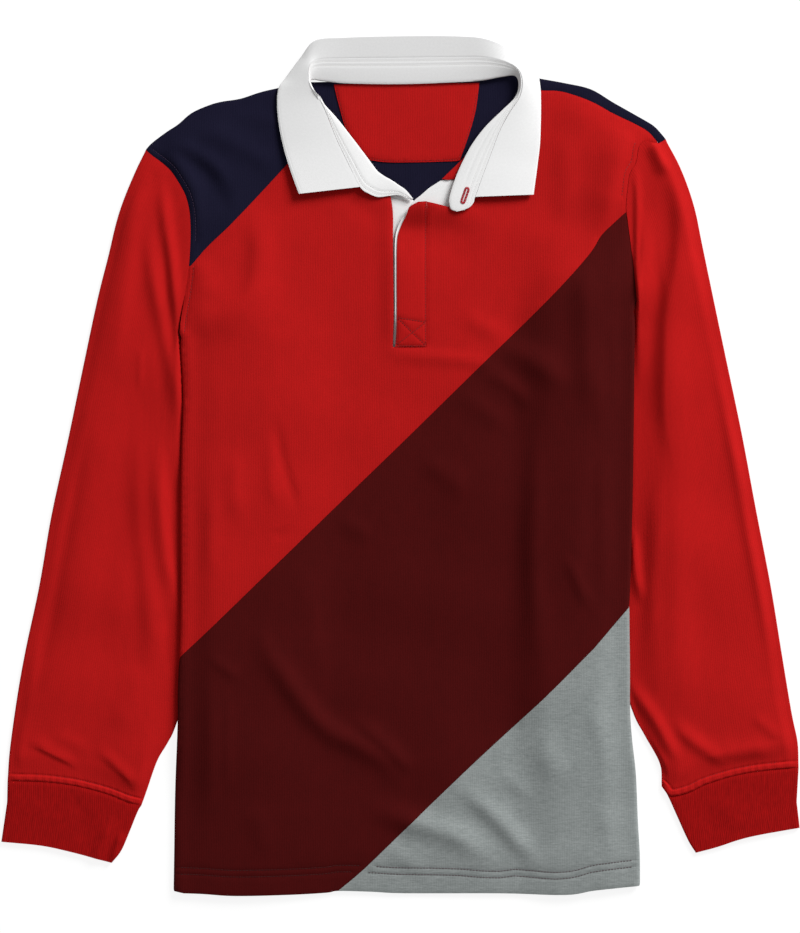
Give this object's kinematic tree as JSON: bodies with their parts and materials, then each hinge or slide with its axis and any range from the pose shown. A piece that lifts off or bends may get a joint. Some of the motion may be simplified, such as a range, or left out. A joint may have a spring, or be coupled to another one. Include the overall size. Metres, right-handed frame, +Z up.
{
  "type": "polo shirt",
  "caption": "Long-sleeved colour-blocked rugby polo shirt laid flat, with a white twill collar, a concealed-button placket and ribbed cuffs.",
  "frame": {"origin": "middle of the laid shirt's outline, on the table that its underside rests on", "axes": "+Z up, out of the table, towards the viewer; +Y from the hem to the collar; +X to the viewer's right"},
  "size_m": [0.7746, 0.8344, 0.0154],
  "materials": {
    "navy_jersey": "matte combed cotton jersey",
    "red_jersey": "matte combed cotton jersey",
    "maroon_jersey": "matte combed cotton jersey",
    "grey_jersey": "matte heather cotton jersey",
    "red_rib": "matte rib knit",
    "white_twill": "matte cotton twill"
  },
  "bodies": {
    "root": {"front_shoulder_panel": "navy_jersey", "shoulder_strip": "navy_jersey", "back_panel": "navy_jersey", "front_chest_panel": "red_jersey", "placket_overlap": "red_jersey", "sleeve_left": "red_jersey", "sleeve_right": "red_jersey", "back_neck_patch": "red_jersey", "front_middle_panel": "maroon_jersey", "front_corner_panel": "grey_jersey", "cuff_left": "red_rib", "cuff_right": "red_rib", "collar_stand": "white_twill", "collar_leaf": "white_twill", "placket_facing": "white_twill", "placket_underlap": "white_twill"}
  },
  "joints": []
}
